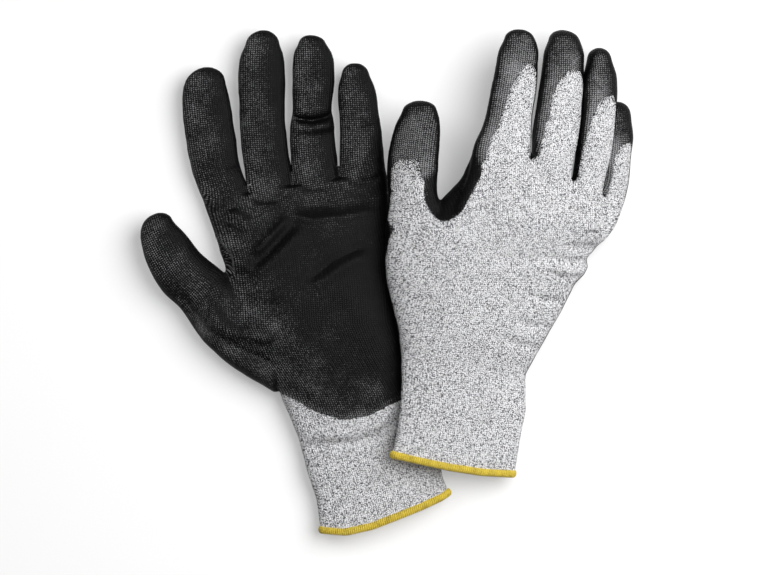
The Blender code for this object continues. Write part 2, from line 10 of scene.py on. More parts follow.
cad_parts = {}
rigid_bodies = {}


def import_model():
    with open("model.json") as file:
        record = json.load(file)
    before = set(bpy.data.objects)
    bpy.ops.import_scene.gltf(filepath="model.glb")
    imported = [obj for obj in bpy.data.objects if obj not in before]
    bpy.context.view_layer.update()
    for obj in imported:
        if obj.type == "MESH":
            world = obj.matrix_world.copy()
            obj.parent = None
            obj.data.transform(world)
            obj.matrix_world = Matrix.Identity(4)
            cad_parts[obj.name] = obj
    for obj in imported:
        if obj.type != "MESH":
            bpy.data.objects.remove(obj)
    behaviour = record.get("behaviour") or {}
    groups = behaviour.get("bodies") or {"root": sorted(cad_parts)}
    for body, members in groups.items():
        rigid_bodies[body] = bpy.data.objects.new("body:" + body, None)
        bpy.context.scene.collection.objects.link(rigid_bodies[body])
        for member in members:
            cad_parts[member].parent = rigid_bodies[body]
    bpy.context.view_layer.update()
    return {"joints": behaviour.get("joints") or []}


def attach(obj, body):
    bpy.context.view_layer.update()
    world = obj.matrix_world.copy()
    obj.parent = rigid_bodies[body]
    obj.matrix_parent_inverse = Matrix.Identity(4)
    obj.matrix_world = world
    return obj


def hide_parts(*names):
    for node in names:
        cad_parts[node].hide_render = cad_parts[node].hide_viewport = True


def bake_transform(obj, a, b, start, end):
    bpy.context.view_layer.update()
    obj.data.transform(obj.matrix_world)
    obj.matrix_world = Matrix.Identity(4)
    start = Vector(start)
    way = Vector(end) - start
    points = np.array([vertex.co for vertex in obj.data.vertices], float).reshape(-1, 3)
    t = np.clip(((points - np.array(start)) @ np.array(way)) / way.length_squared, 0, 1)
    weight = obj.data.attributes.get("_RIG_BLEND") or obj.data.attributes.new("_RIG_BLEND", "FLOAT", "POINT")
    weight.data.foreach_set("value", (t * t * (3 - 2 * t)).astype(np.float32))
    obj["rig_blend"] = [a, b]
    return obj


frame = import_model()
hinges = {joint["name"]: joint for joint in frame["joints"]}
up = Vector((0.0, 0.0, 1.0))
digitNames = ("thumb", "index", "middle", "ring", "little")
webRing = 8  # the ring of a digit that lies at its web
coreRing = 12  # the ring whose half sizes stand for the digit's
tipTurns = (0.3, 0.55, 0.76, 0.92, 0.99)  # rings that close a fingertip, as shares of a quarter turn
roundness = {"across": 0.8, "rise": 0.85}  # powers of the sections' curves

# The table seen straight from above: metres per step, and where the pair's origin and the view's middle lie
table = {
    "step": 0.00052, "originX": 386.16, "originY": 284.85, "middleX": 383.5, "middleY": 287.5, "wide": 767,
}
weave = {
    "voxel": 0.0009, "ease": 9, "soften": 0.5, "handSides": 72, "digitSides": 32,
    "wall": 0.0011, "film": 0.00034, "clear": 0.0007,
}


def spot(place, height=0.0):
    x = (place[0] - table["originX"]) * table["step"]
    y = (table["originY"] - place[1]) * table["step"]
    return Vector((x, y, height))


def mix(low, high, share):
    return low + (high - low) * share


def ease(low, high, value):
    share = np.clip((value - low) / (high - low), 0.0, 1.0)
    return share * share * (3.0 - 2.0 * share)


# Digits that lie flat, with the coating's edge halfway down their sides
flatLie = {"roll": 0, "level": 0.0, "power": 2.0, "lean": 0}

# Left glove, palm up. Hand rows: left edge, right edge, height at both, thickness, arch (mm)
# Digits: edges, tip, height at root, web and tip, thickness at root and tip (mm), roll (degrees)
# A digit's coating: level of its edge at the web, power of its rise, coated length of tip (mm), lean (degrees)
left = {
    "side": "left",
    "palm": 1.0,
    "hand": (
        ((325, 556), (457, 516), 8.2, 8.2, 12.5, 0),
        ((320, 530), (450, 491), 8.2, 8.2, 12.5, 0),
        ((316, 498), (444, 478), 8.2, 8.2, 13, 0),
        ((307, 468), (438, 458), 8.3, 8.3, 14, 0),
        ((298, 439), (433, 434), 8.4, 8.4, 15.5, 0),
        ((288, 411), (428, 412), 9.0, 9.0, 17.6, 0),
        ((280, 391), (423, 393), 9.8, 9.8, 19.4, 0),
        ((248, 358), (412, 355), 11.3, 11.3, 22.6, 0),
        ((228, 328), (405, 322), 11.8, 11.8, 23.6, 0),
        ((229, 297), (400, 290), 11.6, 11.6, 23.2, 0),
        ((226, 264), (396, 256), 10.5, 10.5, 21, 0),
        ((216, 232), (391, 226), 8.9, 8.9, 17.8, 0),
        ((205, 202), (386, 172), 6.7, 6.7, 12.2, 0),
    ),
    "wrist": ((284, 404), (428, 406)),
    "hemEdge": (
        (305, 527), (320, 531), (346, 533), (372, 527), (398, 517), (423, 507), (442, 498), (460, 486),
    ),
    "dipEdge": (
        (240, 389), (281, 391), (307, 406), (324, 414), (346, 419), (370, 414), (399, 400), (430, 384),
    ),
    "sideLevel": 0.35,
    # How much highlight is painted on the coating, and the way that faces turn to catch it
    "painted_glint": 0.74,
    "sheen": (-0.5, 0.0, 0.866),
    "bands": (),
    # Places where less highlight is painted on the coating: path, half width (mm)
    "calm": ((((292, 258), (332, 292), (352, 330)), 34), (((360, 250), (375, 300)), 24)),
    "even": 13,
    "digits": {
        "thumb": {
            "edges": (
                ((276, 392), (268, 262)), ((238, 369), (243, 282)), ((204, 340), (230, 277)),
                ((181, 309), (219, 269)), ((163, 291), (203, 255)), ((148, 261), (188, 236)),
                ((142, 238), (175, 222)),
            ),
            "tip": (154, 215), "height": (10.8, 10.8, 13.0), "thick": (19, 10.6), "capped": 13, **flatLie,
        },
        "index": {
            "edges": (
                ((222, 254), (264, 246)), ((212, 224), (256, 216)), ((203, 199), (247, 186)),
                ((193, 170), (239, 162)), ((187, 139), (235, 133)), ((184, 108), (231, 103)),
                ((185, 88), (226, 84)),
            ),
            "tip": (206, 68), "height": (7.6, 6.9, 10.1), "thick": (11.4, 9.2), "capped": 13, **flatLie,
        },
        "middle": {
            "edges": (
                ((246, 232), (293, 228)), ((247, 206), (292, 200)), ((247, 185), (291, 172)),
                ((243, 155), (288, 153)), ((240, 120), (285, 118)), ((239, 90), (285, 88)),
                ((240, 62), (284, 60)), ((246, 47), (280, 46)),
            ),
            "tip": (264, 31), "height": (7.4, 6.8, 10.6), "thick": (11.2, 8.9), "capped": 13, **flatLie,
        },
        "ring": {
            "edges": (
                ((292, 226), (340, 222)), ((293, 200), (338, 194)), ((293, 172), (337, 166)),
                ((291, 147), (335, 144)), ((291, 125), (334, 122)), ((293, 112), (331, 108)),
                ((293, 80), (334, 80)), ((294, 56), (332, 56)), ((299, 45), (326, 45)),
            ),
            "tip": (311, 36), "height": (7.4, 6.8, 10.8), "thick": (10.8, 8.5), "capped": 13, **flatLie,
        },
        "little": {
            "edges": (
                ((339, 222), (390, 218)), ((339, 196), (387, 192)), ((340.4, 166), (384, 162)),
                ((340, 140), (382, 140)), ((339.6, 115), (379, 115)), ((338.4, 91), (376, 91)),
                ((342, 77), (370, 77)),
            ),
            "tip": (355, 64), "height": (7.2, 6.9, 10.4), "thick": (10.2, 8.3), "capped": 12, **flatLie,
        },
    },
    # Folds of the palm: path, how far it rises or sinks, half width (mm)
    "folds": (
        (((251, 256), (263, 246), (282, 225), (287, 216)), 1.7, 2.2),
        (((282, 215), (296, 217), (312, 221), (340, 218), (380, 211)), 1.3, 2.4),
        (((252, 272), (260, 262), (278, 241), (302, 218)), -1.4, 2.9),
        (((249, 279), (266, 267), (280, 256), (304, 229)), 1.9, 3.4),
        (((233, 250), (243, 262), (250, 274)), 1.3, 3.6),
        (((305, 283), (335, 259), (378, 240)), -1.4, 3.0),
        (((306, 292), (335, 272), (370, 252)), 1.4, 3.4),
        (((222, 219), (235, 225), (247, 232)), -1.2, 1.6),
        (((229, 210), (240, 218), (252, 224)), 0.9, 2.4),
        (((226, 173), (241, 167)), -0.9, 1.4),
        (((292, 205), (320, 206), (352, 203), (386, 196)), -1.0, 3.0),
        (((250, 196), (262, 202), (278, 200), (292, 188)), -0.9, 1.6),
        (((296, 183), (310, 189), (325, 187), (338, 176)), -0.8, 1.6),
        (((342, 176), (356, 182), (372, 181), (386, 174)), -0.7, 1.6),
        (((203, 208), (220, 213), (238, 207), (249, 196)), -0.6, 1.8),
        (((289, 117), (301, 120), (314, 121), (326, 118), (337, 113)), -2.6, 1.3),
        (((290, 127), (302, 129), (314, 129), (326, 127), (336, 124)), 1.7, 2.6),
        (((290, 108), (302, 111), (314, 112), (333, 106)), 0.8, 2.0),
        (((242, 151), (265, 155), (290, 151)), -0.5, 1.8),
        (((336, 128), (358, 131), (381, 128)), -0.4, 2.2),
        (((180, 241), (196, 262), (212, 283), (238, 300)), 0.9, 3.4),
        (((206, 299), (219, 320), (232, 332), (256, 336), (284, 338)), 1.7, 3.2),
        (((160, 286), (184, 299), (208, 331), (236, 348), (262, 360), (288, 378)), -1.8, 3.0),
        (((240, 300), (262, 310), (282, 306)), -0.8, 5.0),
        (((296, 441), (318, 435), (352, 433), (372, 427), (398, 404)), 1.6, 2.8),
        (((298, 450), (320, 445), (352, 443), (376, 437), (402, 414)), -1.9, 2.2),
        (((300, 470), (330, 468), (360, 472), (400, 462)), 0.8, 4.5),
    ),
}

# Right glove, back up, rolled with its thumb side high
right = {
    "side": "right",
    "palm": -1.0,
    "hand": (
        ((391, 488), (514, 506), 24.6, 8.0, 12, 1),
        ((391, 456), (514, 475), 24.6, 8.0, 12, 1),
        ((397, 428), (519, 441), 24.8, 8.2, 12.5, 2),
        ((400, 396), (525, 410), 25.0, 8.2, 13.5, 3),
        ((401, 361), (525, 375), 25.2, 8.4, 15, 4),
        ((399, 334), (543, 342), 25.8, 8.8, 18, 6.4),
        ((393, 308), (560, 312), 26.2, 8.9, 18.6, 8.2),
        ((387, 284), (574, 285), 26.6, 9.2, 19, 9.8),
        ((386, 272), (584, 275), 27.0, 9.3, 19, 10.4),
        ((385, 265), (588, 267), 27.2, 9.4, 19, 10.7),
        ((385, 258), (586, 259), 27.4, 9.4, 19, 11),
        ((390, 236), (600, 241), 28.6, 9.6, 18.4, 12),
        ((430, 214), (611, 226), 31.0, 9.6, 17, 11.4),
        ((462, 176), (618, 213), 32.2, 8.8, 15, 11),
        ((480, 138), (621, 206), 33.4, 7.8, 12.6, 9),
    ),
    "wrist": ((401, 376), (525, 388)),
    "hemEdge": ((375, 450), (391, 455), (418, 461), (450, 468), (482, 473), (513, 475), (530, 475)),
    "dipEdge": ((380, 392), (420, 380), (480, 388), (540, 380)),
    "sideLevel": 0.02,
    # How much highlight is painted on the coating, and the way that faces turn to catch it
    "painted_glint": 0.86,
    "sheen": (0.0, 0.0, 1.0),
    "even": 12,
    "digits": {
        "thumb": {
            "edges": (
                ((387, 280), (452, 262)), ((386, 240), (450, 226)), ((389, 206), (437, 197)),
                ((387, 176), (438, 171)), ((390, 150), (439, 146)), ((396, 127), (439, 124)),
                ((403, 114), (436, 112)),
            ),
            "tip": (419, 102), "height": (28.4, 27.0, 21.6), "thick": (16.4, 9.4), "roll": -20,
            "level": 0.74, "power": 1.7, "capped": 21.5, "lean": -4,
        },
        "index": {
            "edges": (
                ((452, 214), (528, 200)), ((461, 192), (530, 178)), ((469, 170), (530, 157)),
                ((473, 150), (530, 141)), ((483, 124), (531, 118)), ((488, 100), (534, 96)),
                ((494, 74), (536, 70)), ((498, 55), (537, 53)), ((504, 42), (534, 41)),
            ),
            "tip": (518, 31), "height": (33.6, 33.6, 26.2), "thick": (13.4, 8.6), "roll": 12,
            "level": 0.44, "power": 2.2, "capped": 9.5, "lean": 14,
        },
        "middle": {
            "edges": (
                ((524, 206), (575, 210)), ((528, 182), (571, 194)), ((531, 158), (570, 174)),
                ((533, 125), (578, 130)), ((536.8, 103), (580, 105)), ((541, 78), (582, 80)),
                ((543, 56), (582, 57)), ((548, 42), (578, 43)),
            ),
            "tip": (562, 32), "height": (29.0, 31.0, 20.4), "thick": (14.6, 12.0), "roll": 18,
            "level": 0.37, "power": 3.0, "capped": 19.8, "lean": 14,
        },
        "ring": {
            "edges": (
                ((562, 226), (600, 232)), ((567, 204), (600, 216)), ((571.4, 180), (600, 198)),
                ((576, 151), (608, 158)), ((579.4, 125), (612.4, 128)), ((582, 100), (615, 101)),
                ((583, 78), (615, 79)), ((587, 61), (610, 61)),
            ),
            "tip": (598, 49), "height": (18.4, 21.2, 17.8), "thick": (15.6, 12.6), "roll": 32,
            "level": 0.2, "power": 2.2, "capped": 24, "lean": 6,
        },
        "little": {
            "edges": (
                ((572, 246), (600, 244)), ((582, 228), (612, 228)), ((591, 207), (620, 211)),
                ((597, 182), (628, 184)), ((600, 158), (630, 160)), ((602, 136), (632, 137)),
                ((603, 119), (630, 119)),
            ),
            "tip": (618, 102), "height": (12.6, 10.4, 7.5), "thick": (14.6, 12.6), "roll": 36,
            "level": 0.62, "power": 6.0, "capped": 20.5, "lean": 10,
        },
    },
    "folds": (
        (((606, 238), (588, 247), (562, 249)), -1.3, 2.0),
        (((590, 262), (570, 263), (546, 259)), -1.2, 2.0),
        (((586, 277), (566, 278), (542, 273)), -1.2, 2.0),
        (((566, 300), (545, 301), (520, 293)), -1.1, 2.2),
        (((556, 327), (535, 327), (510, 318)), -1.1, 2.2),
        (((541, 348), (520, 345), (496, 335)), -1.0, 2.2),
        (((604, 252), (582, 256), (560, 255)), 0.8, 2.4),
        (((588, 270), (566, 271), (544, 266)), 0.7, 2.4),
        (((385, 190), (400, 193), (414, 190)), -0.8, 2.0),
        (((394, 206), (418, 216), (440, 217)), -0.5, 2.4),
        (((482, 128), (505, 133), (532, 128)), -0.5, 2.2),
        (((535, 118), (556, 122), (580, 118)), -0.5, 2.2),
    ),
    # The coating climbs round the web between thumb and index finger: path, half width
    "bands": (
        (((437, 190), (438, 201), (444, 209), (452, 203), (461, 186), (468, 172)), 6.6),
    ),
    "calm": (),
}


def handRing(row):
    start, end = spot(row[0], row[2] / 1000.0), spot(row[1], row[3] / 1000.0)
    across = (end - start).normalized()
    along = up.cross(Vector((across.x, across.y, 0.0)).normalized())
    return {
        "centre": (start + end) / 2.0, "across": across, "along": along, "rise": across.cross(along),
        "half": (end - start).length / 2.0, "thick": row[4] / 2000.0, "arch": row[5] / 1000.0,
    }


# A smooth run through places, with a few more between each two
def smoothRun(places, between=4):
    line = [Vector((*place, 0.0)) for place in places]
    line = [line[0] * 2.0 - line[1], *line, line[-1] * 2.0 - line[-2]]
    run = []
    for before, near, far, after in zip(line, line[1:], line[2:], line[3:]):
        for step in range(between):
            t = step / between
            place = near * 2.0 + (far - before) * t + (before * 2.0 - near * 5.0 + far * 4.0 - after) * t ** 2
            place = (place + (near * 3.0 - before - far * 3.0 + after) * t ** 3) / 2.0
            run.append(place[:2])
    return run + [line[-2][:2]]


def digitRings(digit):
    sides = [smoothRun([pair[side] for pair in digit["edges"]]) for side in (0, 1)]
    pairs = [(spot(near), spot(far)) for near, far in zip(*sides)]
    middles = [(near + far) / 2.0 for near, far in pairs]
    tip = spot(digit["tip"])
    reach = [0.0]
    for near, far in zip(middles, middles[1:] + [tip]):
        reach.append(reach[-1] + (far - near).length)
    roll = math.radians(digit["roll"])
    rings = []
    for (near, far), middle, run in zip(pairs, middles, reach):
        share = run / reach[-1]
        flat = (far - near).normalized()
        thick = mix(*digit["thick"], share) / 2000.0
        half = (far - near).length / 2.0
        wide = math.sqrt(max(half ** 2 - (thick * math.sin(roll)) ** 2, half ** 2 / 4.0)) / math.cos(roll)
        high = float(np.interp(run, (0.0, reach[webRing], reach[-1]), digit["height"]))
        rings.append({
            "centre": middle + up * high / 1000.0,
            "across": flat * math.cos(roll) - up * math.sin(roll), "along": up.cross(flat),
            "rise": up * math.cos(roll) + flat * math.sin(roll), "half": wide, "thick": thick, "arch": 0.0,
        })
    last = rings[-1]
    way = tip + up * (digit["height"][2] / 1000.0) - last["centre"]
    for turn in tipTurns:
        angle = turn * math.pi / 2.0
        ring = dict(last)
        ring["centre"] = last["centre"] + way * math.sin(angle)
        ring["half"] = last["half"] * math.cos(angle)
        ring["thick"] = last["thick"] * math.cos(angle)
        rings.append(ring)
    return rings


def ringPoint(ring, share):
    angle = 2.0 * math.pi * share
    x = math.copysign(abs(math.cos(angle)) ** roundness["across"], math.cos(angle))
    z = math.copysign(abs(math.sin(angle)) ** roundness["rise"], math.sin(angle))
    place = ring["centre"] + ring["across"] * (ring["half"] * x) + ring["rise"] * (ring["thick"] * z)
    return place + up * (ring["arch"] * (1.0 - x * x))


# The first ring of a tube, its points numbered round it
def startRing(bm, sides):
    turn = bm.verts.layers.int.get("turn") or bm.verts.layers.int.new("turn")
    verts = bmesh.ops.create_circle(bm, segments=sides, radius=1.0)["verts"]
    for index, vert in enumerate(verts):
        vert[turn] = index
    return turn, verts, list({edge for vert in verts for edge in vert.link_edges})


def growRing(bm, edges):
    grown = bmesh.ops.extrude_edge_only(bm, edges=edges)["geom"]
    verts = [item for item in grown if isinstance(item, bmesh.types.BMVert)]
    sides = [item for item in grown if isinstance(item, bmesh.types.BMEdge)]
    fresh = set(verts)
    return verts, [edge for edge in sides if set(edge.verts) <= fresh]


def loft(bm, rings, sides):
    turn, verts, edges = startRing(bm, sides)
    ends = [edges]
    for number, ring in enumerate(rings):
        if number:
            verts, edges = growRing(bm, edges)
        for vert in verts:
            vert.co = ringPoint(ring, vert[turn] / sides)
    ends.append(edges)
    for loop in ends:
        bmesh.ops.edgeloop_fill(bm, edges=loop)


# Where points lie on a run of rings: distance along it, sideways, upwards, and the ring's half sizes
def layOut(points, rings, openEnds=False):
    past = np.array([(points - np.array(ring["centre"])) @ np.array(ring["along"]) for ring in rings])
    low = np.clip((past >= 0.0).sum(axis=0) - 1, 0, len(rings) - 2)
    every = np.arange(len(points))
    near, far = past[low, every], past[low + 1, every]
    share = near / np.maximum(near - far, 0.00001)
    part = np.clip(share, 0.0, 1.0)

    def between(key):
        values = np.array([ring[key] for ring in rings])
        return mix(values[low].T, values[low + 1].T, part).T

    lengths = [(far["centre"] - near["centre"]).length for near, far in zip(rings, rings[1:])]
    starts = np.concatenate([[0.0], np.cumsum(lengths)])
    run = mix(starts[low], starts[low + 1], part)
    if openEnds:
        run = run + np.where(share < 0.0, near, 0.0) + np.where(share > 1.0, far, 0.0)
    offset = points - between("centre")
    half, thick = between("half"), between("thick")
    x = np.sum(offset * between("across"), axis=1)
    z = np.sum(offset * between("rise"), axis=1) - between("arch") * (1.0 - np.clip(x / half, -1.0, 1.0) ** 2)
    return np.stack([run, x, z, half, thick])


# Width across the knit, measured round the section from its middle to its sides
def girthWise(place):
    run, x, z, half, thick = place
    turn = np.arctan2(x / half, z / thick)
    turn = np.where(np.abs(turn) > math.pi / 2.0, np.sign(turn) * math.pi - turn, turn)
    flat = thick / half
    girth = half * ((1.0 + flat) / 2.0 * turn + (1.0 - flat) / 4.0 * np.sin(2.0 * turn))
    return girth * np.hypot(x / half, z / thick)


def planLine(path):
    return np.array([spot(place)[:2] for place in path])


# How far points lie beyond a line drawn from left to right across the glove
def beyond(points, path):
    line = planLine(path)
    return points[:, 1] - np.interp(points[:, 0], line[:, 0], line[:, 1])


# Plan distance of points to a path, and the share of the path that they lie beside
def pathDistance(points, path):
    line = planLine(path)
    lengths = np.linalg.norm(np.diff(line, axis=0), axis=1)
    nearest = np.full(len(points), 1e9)
    beside = np.zeros(len(points))
    run = 0.0
    for start, end, length in zip(line, line[1:], lengths):
        share = np.clip((points[:, :2] - start) @ (end - start) / length ** 2, 0.0, 1.0)
        gap = np.linalg.norm(points[:, :2] - start - share[:, None] * (end - start), axis=1)
        beside = np.where(gap < nearest, (run + share * length) / lengths.sum(), beside)
        nearest = np.minimum(gap, nearest)
        run += length
    return nearest, beside


# Waves on the points, each kind with its size, seed and height
def unevenness(points, waves):
    total = np.zeros(len(points))
    for size, seed, height in waves:
        shift = Vector((seed, 0.0, 0.0))
        total = total + np.array([noise.noise(Vector(point) / size + shift) for point in points]) * height
    return total


# One closed skin of hand and digits, grown together
def makeSkin(glove, names):
    bm = bmesh.new()
    loft(bm, glove["rings"], weave["handSides"])
    for name in names:
        loft(bm, glove["digits"][name]["rings"], weave["digitSides"])
    mesh = bpy.data.meshes.new(glove["side"] + "_cage")
    bm.to_mesh(mesh)
    bm.free()
    cage = bpy.data.objects.new(mesh.name, mesh)
    bpy.context.scene.collection.objects.link(cage)
    union = cage.modifiers.new("union", "REMESH")
    union.mode = "VOXEL"
    union.voxel_size = weave["voxel"]
    soften = cage.modifiers.new("soften", "SMOOTH")
    soften.factor = weave["soften"]
    soften.iterations = weave["ease"]
    graph = bpy.context.evaluated_depsgraph_get()
    skin = bpy.data.meshes.new_from_object(cage.evaluated_get(graph), depsgraph=graph)
    bpy.data.objects.remove(cage)
    return skin


def readPoints(mesh):
    points = np.empty(len(mesh.vertices) * 3)
    mesh.vertices.foreach_get("co", points)
    return points.reshape(-1, 3)


def readNormals(mesh):
    normals = np.empty(len(mesh.vertices) * 3)
    mesh.vertex_normals.foreach_get("vector", normals)
    return normals.reshape(-1, 3)


# Folds show on faces that look up, and die out towards their ends. The cloth between them is slack
foldShape = {"facing": (0.05, 0.45), "taper": 0.22, "slack": ((0.021, 3.0, 0.0008), (0.008, 9.0, 0.0003))}


def sculpt(glove, mesh):
    points, outward = readPoints(mesh), readNormals(mesh)
    facing = ease(*foldShape["facing"], outward[:, 2])
    for path, lift, wide in glove["folds"]:
        gap, share = pathDistance(points, path)
        taper = ease(0.0, foldShape["taper"], share) * ease(0.0, foldShape["taper"], 1.0 - share)
        rise = lift / 1000.0 * np.exp(-(gap * 1000.0 / wide) ** 2) * taper * facing
        points = points + outward * rise[:, None]
    points = points + outward * unevenness(points, foldShape["slack"])[:, None]
    points[:, 2] = np.maximum(points[:, 2], weave["clear"])
    mesh.vertices.foreach_set("co", points.ravel())
    mesh.update()


def runLength(rings):
    return sum((far["centre"] - near["centre"]).length for near, far in zip(rings, rings[1:]))


# Which digit each point is nearest to, how far off its core, and how far past its web
def nearDigits(glove, points, names):
    off, past = [], []
    for name in names:
        digit = glove["digits"][name]
        found = layOut(points, digit["rings"])
        size, web = digit["rings"][coreRing], digit["rings"][webRing]
        off.append(np.hypot(found[1] / size["half"], found[2] / size["thick"]))
        past.append((points - np.array(web["centre"])) @ np.array(web["along"]))
    return np.array(off), np.array(past)


# How far a digit rules the skin about it: along it from its web (m), and off its core (in half sizes)
digitReach = {
    "below": -0.015, "near": 1.8, "far": 9.0, "fall": 0.012,
    "thumb": (-0.014, -0.004), "finger": (-0.003, 0.003),
}
# The knit's lines run on over ends that face away from the wrist, and turn into each digit's own past its web
knitShape = {"ends": (0.45, 0.95), "turn": (-0.004, 0.014)}
# The coating's edge: rounds of smoothing, and its waves
dipShape = {"rounds": 4, "waves": ((0.0022, 5.0, 0.0003), (0.011, 7.0, 0.0006)), "side": -0.2}
# Painted highlight on the coating: pale glints on faces turned to the light, fewer on bands and calm places
paintedGlintShape = {"facing": (0.5, 1.0), "band": (0.0006, 0.0016), "calm": (0.0004, 0.001), "least": 0.55}


# Where the coating reaches, as a distance inside its edge, where pale glints are painted on it as highlight,
# and the knit's own coordinates
def survey(glove, mesh, names):
    points, outward = readPoints(mesh), readNormals(mesh)
    edges = np.array([edge.vertices[:] for edge in mesh.edges])
    palm = glove["palm"]
    lines = glove["rings"][:glove["even"]]
    even = layOut(points, lines, True)
    across = girthWise(even)
    along = even[0] + (even[4] - even[2]) * ease(*knitShape["ends"], outward[:, 1])
    place = layOut(points, glove["rings"])
    dip = np.minimum(palm * place[2] + glove["sideLevel"] * place[4], beyond(points, glove["dipEdge"]))
    off, past = nearDigits(glove, points, names)
    nearest = np.where(past > digitReach["below"], off, digitReach["far"]).argmin(axis=0)
    for number, name in enumerate(names):
        digit = glove["digits"][name]
        rings = digit["rings"]
        size = rings[coreRing]
        found = layOut(points, rings)
        start = runLength(rings[:webRing + 1])
        share = np.clip((found[0] - start) / (runLength(rings) - digit["capped"] / 1000.0 - start), 0.0, 2.0)
        lean = math.radians(digit["lean"])
        reach = math.hypot(size["thick"] * math.cos(lean), size["half"] * math.sin(lean))
        back = -palm * (found[2] * math.cos(lean) + found[1] * math.sin(lean))
        fall = np.clip(past[number] / digitReach["fall"], -1.0, 0.0) * (digit["level"] - glove["sideLevel"])
        level = (mix(digit["level"], 1.0, share ** digit["power"]) + fall) * reach - back
        mine = (nearest == number) & (off[number] < digitReach["near"])
        blend = digitReach["thumb" if name == "thumb" else "finger"]
        dip = mix(dip, level, ease(*blend, past[number]) * mine)
        turned = ease(*knitShape["turn"], past[number]) * mine
        seam = (turned > 0.0) & (turned < 1.0)
        girth = girthWise(found)
        across = mix(across, girth + np.median((across - girth)[seam]), turned)
        along = mix(along, found[0] + np.median((along - found[0])[seam]), turned)
    # Painted highlight: pale glints on faces turned towards the light's way, given by sheen
    painted_glint = glove["painted_glint"] * ease(*paintedGlintShape["facing"], outward @ np.array(glove["sheen"]))
    for path, wide in glove["bands"]:
        gap = pathDistance(points, path)[0]
        dip = np.maximum(dip, np.where(outward[:, 2] > dipShape["side"], wide / 1000.0 - gap, -1.0))
        low, high = paintedGlintShape["band"]
        painted_glint = painted_glint * ease(wide * low, wide * high, gap)
    for path, wide in glove["calm"]:
        gap = pathDistance(points, path)[0]
        low, high = paintedGlintShape["calm"]
        painted_glint = painted_glint * mix(paintedGlintShape["least"], 1.0, ease(wide * low, wide * high, gap))
    for turn in range(dipShape["rounds"]):
        total, count = dip.copy(), np.ones(len(dip))
        for near, far in ((0, 1), (1, 0)):
            np.add.at(total, edges[:, near], dip[edges[:, far]])
            np.add.at(count, edges[:, near], 1.0)
        dip = total / count
    dip = dip + unevenness(points, dipShape["waves"])
    nearest = np.where(off.min(axis=0) < digitReach["near"], off.argmin(axis=0), -1)
    knit = np.stack([across, along, np.zeros(len(across))], axis=1)
    return {"knit": knit, "dip": dip, "painted_glint": painted_glint, "outward": outward, "nearest": nearest}


# Cuts keep clear of the ends of edges, and those of a digit stay near its own planes
cutShape = {"ends": (0.03, 0.97), "near": 0.02, "digit": 0.008}


# Splits faces along the line where a value on the points passes zero
def cutLine(bm, value, inside):
    least, most = cutShape["ends"]
    bm.verts.index_update()
    shares = {}
    for edge in bm.edges:
        near, far = edge.verts[0].index, edge.verts[1].index
        if inside[near] and inside[far] and value[near] * value[far] < 0.0:
            shares[edge] = min(max(value[near] / (value[near] - value[far]), least), most)
    split = bmesh.ops.bisect_edges(bm, edges=list(shares), cuts=1, edge_percents=shares)["geom_split"]
    fresh = list({item for item in split if isinstance(item, bmesh.types.BMVert)})
    bmesh.ops.connect_verts(bm, verts=fresh)


def planeOf(pair):
    row = handRing((*pair, 0.0, 0.0, 0.0, 0.0))
    return np.array(row["centre"]), np.array(row["along"])


# The plane halfway along a digit's lower segment, where its two pieces meet
def halfPlane(side, name):
    root = np.array(hinges[f"{side}_{name}_root_knuckle"]["pos_m"])
    middle = np.array(hinges[f"{side}_{name}_middle_knuckle"]["pos_m"])
    return (root + middle) / 2.0, (middle - root) / np.linalg.norm(middle - root)


# Labels of the pieces: 0 is the hand, 1 the cuff, then come two for each digit
def digitKey(name):
    return 2 + 2 * digitNames.index(name)


# Off a digit's core (in half sizes): what is its own, close to its web and past it, and what its skin keeps
pieceReach = {"web": 0.010, "close": 1.4, "own": 1.8, "below": -0.010, "kept": 2.4}


def partLabels(glove, points, names):
    off, past = nearDigits(glove, points, names)
    near = np.where(past > 0.0, off, digitReach["far"])
    owner = near.argmin(axis=0)
    label = np.zeros(len(points), int)
    centre, along = planeOf(glove["wrist"])
    label[(points - centre) @ along < 0.0] = 1
    for number, name in enumerate(names):
        middle, way = halfPlane(glove["side"], name)
        reach = np.where(past[number] < pieceReach["web"], pieceReach["close"], pieceReach["own"])
        mine = (near[number] < reach) & (owner == number)
        key = digitKey(name)
        label[mine] = key
        label[mine & ((points - middle) @ way > 0.0)] = key + 1
    label[beyond(points, glove["hemEdge"]) < 0.0] = -1
    return label


# Keeps the skin of the fingers and of the knuckles below them
def trimSkin(glove, mesh, names):
    off, past = nearDigits(glove, readPoints(mesh), names)
    away = ~np.any((past > pieceReach["below"]) & (off < pieceReach["kept"]), axis=0)
    bm = bmesh.new()
    bm.from_mesh(mesh)
    bmesh.ops.delete(bm, geom=[vert for vert in bm.verts if away[vert.index]], context="VERTS")
    bm.to_mesh(mesh)
    bm.free()


